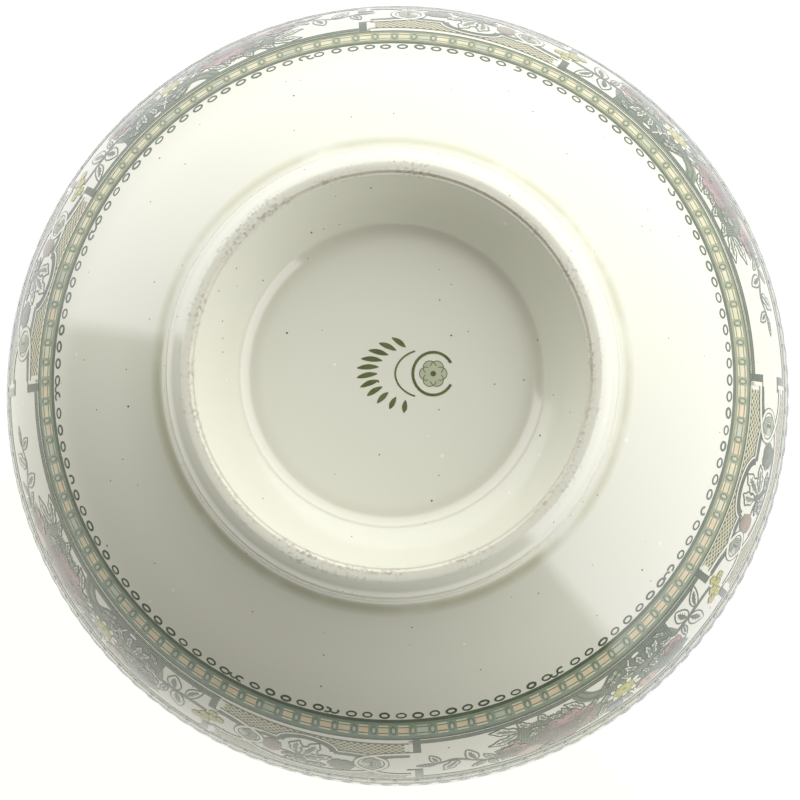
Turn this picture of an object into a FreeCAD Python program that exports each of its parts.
import FreeCAD, Part
import os
import re
import Sketcher

# Footed serving bowl with printed borders. Millimetres, +Z up, origin at the centre of the foot's face.

# Driving dimensions. Every other size is worked out from these by the expressions below.
# Angles on the outer wall are measured below the horizontal, about the centre of the wall's arc.
SIZES = {
    "bowl_dia": 240.0,          # across the widest part, just under the lip
    "bowl_height": 93.5,        # foot face to the top of the lip
    "lip_width": 5.0,           # wall thickness at the lip, which is a full round
    "upper_curve": 78.0,        # radius of the outside wall's upper arc
    "lower_curve": 110.0,       # radius of the outside wall's lower arc
    "blend_deg": 40.0,          # where the two arcs of a wall meet
    "inner_curve": 70.0,        # radius of the inside wall's upper arc
    "floor_top": 23.0,          # height of the inside floor
    "junction_deg": 64.2,       # where the foot's outer wall leaves the bowl
    "foot_fillet": 5.0,         # hollow curve between foot and bowl
    "foot_lean_deg": 80.0,      # steepness of the foot's outer wall
    "foot_curve": 8.0,          # rounding from the foot's outer wall down to its face
    "foot_curve_top": 6.05,     # height where the rounding meets the straight outer wall
    "foot_inner_dia": 108.8,    # inner edge of the foot's face
    "well_height": 17.0,        # depth of the recess inside the foot
    "well_deg": 52.0,           # steepness of the recess's wall
    "well_fillet": 6.0,         # curve between the recess's wall and its floor
    "glaze_coat": 0.4,          # thickness of each coat of glaze
    "glaze_wipe": 0.8,          # bare clay left above the foot's face, on the recess's side
    "film": 0.15,               # thickness of a printed film
    "bead_low_deg": 45.2,       # edges of the printed bands
    "bead_high_deg": 43.4,
    "chain_low_deg": 43.2,
    "chain_high_deg": 38.0,
    "frieze_low_deg": 37.8,
    "frieze_high_deg": 19.9,
    "top_low_deg": 19.7,
    "top_high_deg": 10.5,
    "sheet_deg": 89.8,          # a quarter turn less the gap at the join
    "sheet_turn_deg": 90.0,
    "mark_width": 28.0,
    "mark_depth": 20.0,
    "mark_offset": 3.5,         # the printed mark sits a little off the centre of the well
}

DOC = FreeCAD.newDocument("serving_bowl")
SHEET = DOC.addObject("Spreadsheet::Sheet", "Sizes")
for row, (alias, value) in enumerate(SIZES.items(), start=1):
    SHEET.set(f"A{row}", alias)
    SHEET.set(f"B{row}", str(value))
    SHEET.setAlias(f"B{row}", alias)
DOC.recompute()

ALIAS = re.compile(r"\b(" + "|".join(sorted(SIZES, key=len, reverse=True)) + r")\b")

# Shared places on the profile, as expressions of the driving dimensions.
RIM_Z = "(bowl_height - lip_width / 2)"
LIP_X = "(bowl_dia / 2 - lip_width / 2)"
UPPER_X = "(bowl_dia / 2 - upper_curve)"
LOWER_X = "(bowl_dia / 2 - upper_curve + (upper_curve - lower_curve) * cos(blend_deg))"
LOWER_Z = "(bowl_height - lip_width / 2 - (upper_curve - lower_curve) * sin(blend_deg))"
INNER_X = "(bowl_dia / 2 - lip_width - inner_curve)"
INNER_LOW = "((bowl_height - lip_width / 2 - inner_curve * sin(blend_deg) - floor_top)" \
            " / (1 - sin(blend_deg)))"
INNER_LOW_X = f"({INNER_X} + (inner_curve - {INNER_LOW}) * cos(blend_deg))"
FILLET_X = f"({LOWER_X} + (lower_curve + foot_fillet) * cos(junction_deg))"
FILLET_Z = f"({LOWER_Z} - (lower_curve + foot_fillet) * sin(junction_deg))"
CURVE_Z = "(foot_curve_top + foot_curve * cos(foot_lean_deg))"
CURVE_X = (f"({FILLET_X} - foot_fillet * sin(foot_lean_deg) - foot_curve * sin(foot_lean_deg)"
           f" - ({FILLET_Z} + foot_fillet * cos(foot_lean_deg) - foot_curve_top) / tan(foot_lean_deg))")
JOINT_Z = f"({LOWER_Z} - (lower_curve - glaze_coat) * sin(junction_deg))"
WELL_X = "(foot_inner_dia / 2 - well_height / tan(well_deg) - well_fillet * tan(well_deg / 2))"
WELL_Z = "(well_height - well_fillet)"


def full(expression):
    """The expression with each dimension looked up in the sheet."""
    return ALIAS.sub(r"Sizes.\1", expression)


def number(expression):
    """The expression's value now."""
    value = SHEET.evalExpression(full(expression))
    return float(getattr(value, "Value", value))


def lower_wall(angle, skin="0"):
    """Point of the outside wall's lower arc, moved into the clay by skin."""
    return (f"({LOWER_X} + (lower_curve - {skin}) * cos({angle}))",
            f"({LOWER_Z} - (lower_curve - {skin}) * sin({angle}))")


def upper_wall(angle, skin="0"):
    """Point of the outside wall's upper arc, moved into the clay by skin."""
    return (f"({UPPER_X} + (upper_curve - {skin}) * cos({angle}))",
            f"({RIM_Z} - (upper_curve - {skin}) * sin({angle}))")


def inner_blend(skin="0"):
    """Point where the two arcs of the inside wall meet, moved into the clay by skin."""
    return (f"({INNER_X} + (inner_curve + {skin}) * cos(blend_deg))",
            f"({RIM_Z} - (inner_curve + {skin}) * sin(blend_deg))")


def foot_wall_top(skin="0"):
    """Point where the foot's straight outer wall meets its hollow curve."""
    return (f"({FILLET_X} - (foot_fillet + {skin}) * sin(foot_lean_deg))",
            f"({FILLET_Z} + (foot_fillet + {skin}) * cos(foot_lean_deg))")


def foot_curve_top(skin="0"):
    """Point where the foot's straight outer wall meets its rounding."""
    return (f"({CURVE_X} + (foot_curve - {skin}) * sin(foot_lean_deg))",
            f"({CURVE_Z} - (foot_curve - {skin}) * cos(foot_lean_deg))")


def foot_curve_low(skin="0"):
    """Point where the foot's rounding runs into its flat face."""
    return f"({CURVE_X} + sqrt((foot_curve - {skin})^2 - {CURVE_Z}^2))", "0"


def well_wall_at(height, skin="0"):
    """Point of the recess's sloping wall at a height."""
    return (f"(foot_inner_dia / 2 + {skin} / sin(well_deg) - {height} / tan(well_deg))", height)


def well_corner(skin="0"):
    """Ends of the curve between the recess's wall and its floor: wall end, floor end."""
    reach = f"(well_fillet + {skin})"
    return ((f"({WELL_X} + {reach} * sin(well_deg))", f"({WELL_Z} + {reach} * cos(well_deg))"),
            (WELL_X, f"({WELL_Z} + {reach})"))


def arc_through(start, end, radius, turn):
    """Circle arc from start to end, turning left (1) or right (-1), and whether it runs backwards."""
    middle = (start + end) * 0.5
    chord = end - start
    rise = (radius ** 2 - (chord.Length / 2) ** 2) ** 0.5
    side = FreeCAD.Vector(-chord.y, chord.x, 0).normalize()
    centre = middle + side * (rise * turn)
    circle = Part.Circle(centre, FreeCAD.Vector(0, 0, 1), radius)
    first, last = (start, end) if turn > 0 else (end, start)
    return Part.ArcOfCircle(circle, circle.parameter(first), circle.parameter(last)), turn < 0


def outline(body, name, plane, points, arcs):
    """Closed, fully constrained sketch. arcs maps a point's index to (radius, turn) of its next edge."""
    sketch = body.newObject("Sketcher::SketchObject", name)
    origin_plane = next(item for item in body.Origin.OriginFeatures if item.Role == plane)
    sketch.AttachmentSupport = [(origin_plane, "")]
    sketch.MapMode = "FlatFace"
    places = [FreeCAD.Vector(number(x), number(y), 0) for x, y in points]
    ends = []
    for index, start in enumerate(places):
        end = places[(index + 1) % len(places)]
        if index in arcs:
            radius, turn = arcs[index]
            edge, backwards = arc_through(start, end, number(radius), turn)
            ends.append((2, 1) if backwards else (1, 2))
        else:
            edge = Part.LineSegment(start, end)
            ends.append((1, 2))
        sketch.addGeometry(edge, False)
    for index in range(len(places)):
        follower = (index + 1) % len(places)
        sketch.addConstraint(
            Sketcher.Constraint("Coincident", index, ends[index][1], follower, ends[follower][0]))
    for index, ((x, y), place) in enumerate(zip(points, places)):
        rules = (("DistanceX", -2, x, place.x), ("DistanceY", -1, y, place.y))
        for kind, axis, expression, value in rules:
            if expression == "0":
                rule = Sketcher.Constraint("PointOnObject", index, ends[index][0], axis)
                sketch.addConstraint(rule)
                continue
            rule = Sketcher.Constraint(kind, -1, 1, index, ends[index][0], value)
            added = sketch.addConstraint(rule)
            sketch.setExpression(f"Constraints[{added}]", full(expression))
    for index, (radius, _) in arcs.items():
        added = sketch.addConstraint(Sketcher.Constraint("Radius", index, number(radius)))
        sketch.setExpression(f"Constraints[{added}]", full(radius))
    DOC.recompute()
    return sketch


def new_body(name):
    body = DOC.addObject("PartDesign::Body", name)
    body.Label = name
    return body


def turned(name, points, arcs, sweep="360"):
    """Sub-part turned about the vertical axis from an outline in the XZ plane."""
    body = new_body(name)
    sketch = outline(body, f"{name}_outline", "XZ_Plane", points, arcs)
    turn = body.newObject("PartDesign::Revolution", f"{name}_turn")
    turn.Profile = sketch
    turn.ReferenceAxis = (sketch, ["V_Axis"])
    turn.setExpression("Angle", full(sweep))
    body.Tip = turn
    DOC.recompute()
    return body


def bowl_body():
    """Clay floor, wall and lip, down to the plane where the foot ring is joined on."""
    skin = "glaze_coat"
    wall_end, floor_end = well_corner(skin)
    points = [
        ("0", f"(well_height + {skin})"), floor_end, wall_end, well_wall_at(JOINT_Z, skin),
        lower_wall("junction_deg", skin), lower_wall("blend_deg", skin), upper_wall("0", skin),
        (LIP_X, f"(bowl_height - {skin})"), (f"({LIP_X} - lip_width / 2 + {skin})", RIM_Z),
        inner_blend(skin), (INNER_LOW_X, f"(floor_top - {skin})"), ("0", f"(floor_top - {skin})"),
    ]
    arcs = {
        1: (f"(well_fillet + {skin})", -1),
        4: (f"(lower_curve - {skin})", 1),
        5: (f"(upper_curve - {skin})", 1),
        6: (f"(lip_width / 2 - {skin})", 1),
        7: (f"(lip_width / 2 - {skin})", 1),
        8: (f"(inner_curve + {skin})", -1),
        9: (f"({INNER_LOW} + {skin})", -1),
    }
    return turned("bowl_body", points, arcs)


def foot_ring():
    """Clay foot ring with a narrow bare face, joined under the bowl."""
    skin = "glaze_coat"
    points = [
        well_wall_at("0", skin), foot_curve_low(skin), foot_curve_top(skin), foot_wall_top(skin),
        lower_wall("junction_deg", skin), well_wall_at(JOINT_Z, skin),
    ]
    arcs = {1: (f"(foot_curve - {skin})", 1), 3: (f"(foot_fillet + {skin})", -1)}
    return turned("foot_ring", points, arcs)


def outer_glaze():
    """Glaze from the foot's face, where it is ground flush, up the outside wall to the top of the lip."""
    skin = "glaze_coat"
    points = [
        foot_curve_low(skin), foot_curve_low(), foot_curve_top(), foot_wall_top(),
        lower_wall("junction_deg"), lower_wall("blend_deg"), upper_wall("0"),
        (LIP_X, "bowl_height"), (LIP_X, f"(bowl_height - {skin})"),
        upper_wall("0", skin), lower_wall("blend_deg", skin), lower_wall("junction_deg", skin),
        foot_wall_top(skin), foot_curve_top(skin),
    ]
    arcs = {
        1: ("foot_curve", 1),
        3: ("foot_fillet", -1),
        4: ("lower_curve", 1),
        5: ("upper_curve", 1),
        6: ("(lip_width / 2)", 1),
        8: (f"(lip_width / 2 - {skin})", -1),
        9: (f"(upper_curve - {skin})", -1),
        10: (f"(lower_curve - {skin})", -1),
        11: (f"(foot_fillet + {skin})", 1),
        13: (f"(foot_curve - {skin})", -1),
    }
    return turned("outer_glaze", points, arcs)


def inner_glaze():
    """Glaze over the inside floor and wall, to the top of the lip."""
    skin = "glaze_coat"
    points = [
        ("0", f"(floor_top - {skin})"), (INNER_LOW_X, f"(floor_top - {skin})"), inner_blend(skin),
        (f"({LIP_X} - lip_width / 2 + {skin})", RIM_Z), (LIP_X, f"(bowl_height - {skin})"),
        (LIP_X, "bowl_height"), (f"({LIP_X} - lip_width / 2)", RIM_Z), inner_blend(),
        (INNER_LOW_X, "floor_top"), ("0", "floor_top"),
    ]
    arcs = {
        1: (f"({INNER_LOW} + {skin})", 1),
        2: (f"(inner_curve + {skin})", 1),
        3: (f"(lip_width / 2 - {skin})", -1),
        5: ("(lip_width / 2)", 1),
        6: ("inner_curve", -1),
        7: (INNER_LOW, -1),
    }
    return turned("inner_glaze", points, arcs)


def foot_well_glaze():
    """Glaze over the recess's sloping wall and floor."""
    skin = "glaze_coat"
    wall_end, floor_end = well_corner()
    deep_wall_end, deep_floor_end = well_corner(skin)
    points = [
        ("0", "well_height"), floor_end, wall_end, well_wall_at("glaze_wipe"),
        well_wall_at("glaze_wipe", skin), deep_wall_end, deep_floor_end,
        ("0", f"(well_height + {skin})"),
    ]
    arcs = {1: ("well_fillet", -1), 5: (f"(well_fillet + {skin})", 1)}
    return turned("foot_well_glaze", points, arcs)


def upper_band(name, low, high, sweep="360"):
    """Printed film on the outside wall's upper arc, between two angles."""
    points = [upper_wall(low), upper_wall(low, "(-film)"), upper_wall(high, "(-film)"), upper_wall(high)]
    arcs = {1: ("(upper_curve + film)", 1), 3: ("upper_curve", -1)}
    return turned(name, points, arcs, sweep)


def bead_border():
    """Printed film of the bead row, on the lower arc."""
    low, high = "bead_low_deg", "bead_high_deg"
    points = [lower_wall(low), lower_wall(low, "(-film)"), lower_wall(high, "(-film)"), lower_wall(high)]
    arcs = {1: ("(lower_curve + film)", 1), 3: ("lower_curve", -1)}
    return turned("bead_border", points, arcs)


def chain_border():
    """Printed film of the chain band, across the place where the wall's two arcs meet."""
    low, high = "chain_low_deg", "chain_high_deg"
    points = [
        lower_wall(low), lower_wall(low, "(-film)"), lower_wall("blend_deg", "(-film)"),
        upper_wall(high, "(-film)"), upper_wall(high), upper_wall("blend_deg"),
    ]
    arcs = {
        1: ("(lower_curve + film)", 1),
        2: ("(upper_curve + film)", 1),
        4: ("upper_curve", -1),
        5: ("lower_curve", -1),
    }
    return turned("chain_border", points, arcs)


def frieze_sheets(count):
    """Pieces of the wide floral print, laid end to end round the bowl."""
    sheets = []
    for index in range(count):
        sheet = upper_band(f"frieze_sheet_{index + 1}", "frieze_low_deg", "frieze_high_deg", "sheet_deg")
        sheet.setExpression("Placement.Rotation.Angle", full(f"sheet_turn_deg * {index}"))
        sheets.append(sheet)
    return sheets


def back_mark():
    """Printed film of the mark on the floor of the recess: a rounded bar."""
    body = new_body("back_mark")
    left = "(mark_offset - mark_width / 2 + mark_depth / 2)"
    right = "(mark_offset + mark_width / 2 - mark_depth / 2)"
    points = [
        (left, "(-mark_depth / 2)"), (right, "(-mark_depth / 2)"),
        (f"({right} + mark_depth / 2)", "0"), (right, "(mark_depth / 2)"),
        (left, "(mark_depth / 2)"), (f"({left} - mark_depth / 2)", "0"),
    ]
    arcs = {index: ("(mark_depth / 2)", 1) for index in (1, 2, 4, 5)}
    sketch = outline(body, "back_mark_outline", "XY_Plane", points, arcs)
    sketch.setExpression("AttachmentOffset.Base.z", full("well_height - film"))
    pad = body.newObject("PartDesign::Pad", "back_mark_pad")
    pad.Profile = sketch
    pad.setExpression("Length", full("film"))
    body.Tip = pad
    DOC.recompute()
    return body


def check(subparts):
    """Stop if any object failed, or any sub-part isn't one valid solid."""
    for item in DOC.Objects:
        if {"Invalid", "Error"} & set(item.State):
            raise RuntimeError(f"{item.Name} failed: {item.State}")
    for body in subparts:
        shape = body.Shape
        if shape.isNull() or not shape.isValid() or len(shape.Solids) != 1:
            raise RuntimeError(f"{body.Label} isn't one valid solid")


SUBPARTS = [
    bowl_body(), foot_ring(), outer_glaze(), inner_glaze(), foot_well_glaze(),
    bead_border(), chain_border(), *frieze_sheets(4),
    upper_band("upper_chain_border", "top_low_deg", "top_high_deg"), back_mark(),
]
DOC.recompute()
check(SUBPARTS)
os.makedirs("parts", exist_ok=True)
for part in SUBPARTS:
    part.Shape.exportStep(f"parts/{part.Label}.step")
    print(f"{part.Label}: {part.Shape.Volume:.1f} mm3")
